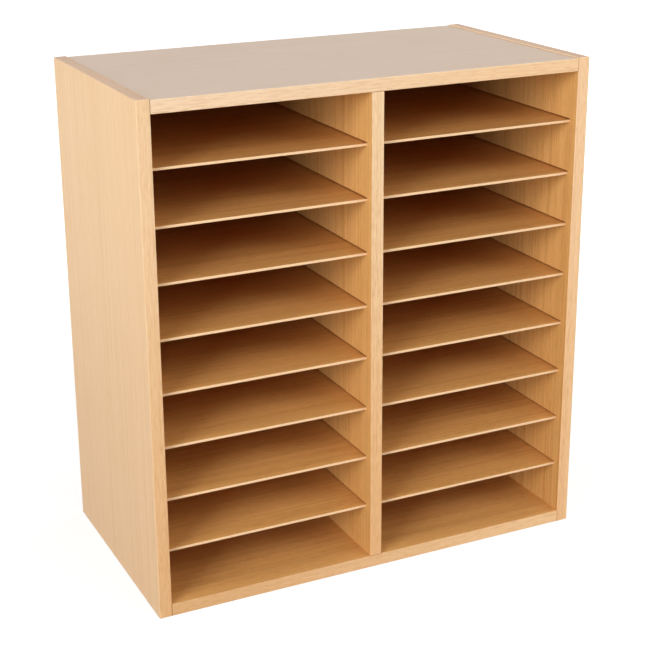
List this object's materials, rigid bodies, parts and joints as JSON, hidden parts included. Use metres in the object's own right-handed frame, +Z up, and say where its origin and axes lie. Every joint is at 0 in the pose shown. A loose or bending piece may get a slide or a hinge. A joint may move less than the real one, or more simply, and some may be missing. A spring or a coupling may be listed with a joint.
{
  "type": "pigeonhole mail sorter",
  "caption": "Free-standing pigeonhole sorter: laminated-board carcass with a centre divider, thin shelves let into grooves, an open front and a closed back.",
  "frame": {"origin": "middle of the footprint, on the surface the sorter stands on", "axes": "+Z up, -Y out of the open front, +X to the right as seen from the front"},
  "size_m": [0.56, 0.3, 0.603],
  "materials": {
    "board_laminate": "satin maple-pattern laminate on chipboard, fine straight grain, raw chipboard on the hidden edges",
    "edging_strip": "satin wood-grain edging strip, grain along the strip, eased corners",
    "shelf_board": "satin wood-grain faced hardboard with a pale front edge, grain across the shelf",
    "back_hardboard": "wood-grain foil inside, bare brown hardboard outside",
    "dowel_beech": "plain beech",
    "plated_steel": "bright zinc plate",
    "zinc_casting": "cast zinc, bright plated"
  },
  "bodies": {
    "root": {"left_side_panel": "board_laminate", "right_side_panel": "board_laminate", "top_panel": "board_laminate", "bottom_panel": "board_laminate", "centre_divider": "board_laminate", "back_panel": "back_hardboard", "shelf_left_1": "shelf_board", "shelf_left_2": "shelf_board", "shelf_left_3": "shelf_board", "shelf_left_4": "shelf_board", "shelf_left_5": "shelf_board", "shelf_left_6": "shelf_board", "shelf_left_7": "shelf_board", "shelf_left_8": "shelf_board", "shelf_right_1": "shelf_board", "shelf_right_2": "shelf_board", "shelf_right_3": "shelf_board", "shelf_right_4": "shelf_board", "shelf_right_5": "shelf_board", "shelf_right_6": "shelf_board", "shelf_right_7": "shelf_board", "shelf_right_8": "shelf_board", "left_side_front_edging": "edging_strip", "left_side_top_edging": "edging_strip", "right_side_front_edging": "edging_strip", "right_side_top_edging": "edging_strip", "top_panel_edging": "edging_strip", "bottom_panel_edging": "edging_strip", "divider_edging": "edging_strip", "corner_dowels": "dowel_beech", "divider_dowels": "dowel_beech", "cam_bolts": "plated_steel", "back_panel_screws": "plated_steel", "cam_locks": "zinc_casting"}
  },
  "joints": []
}
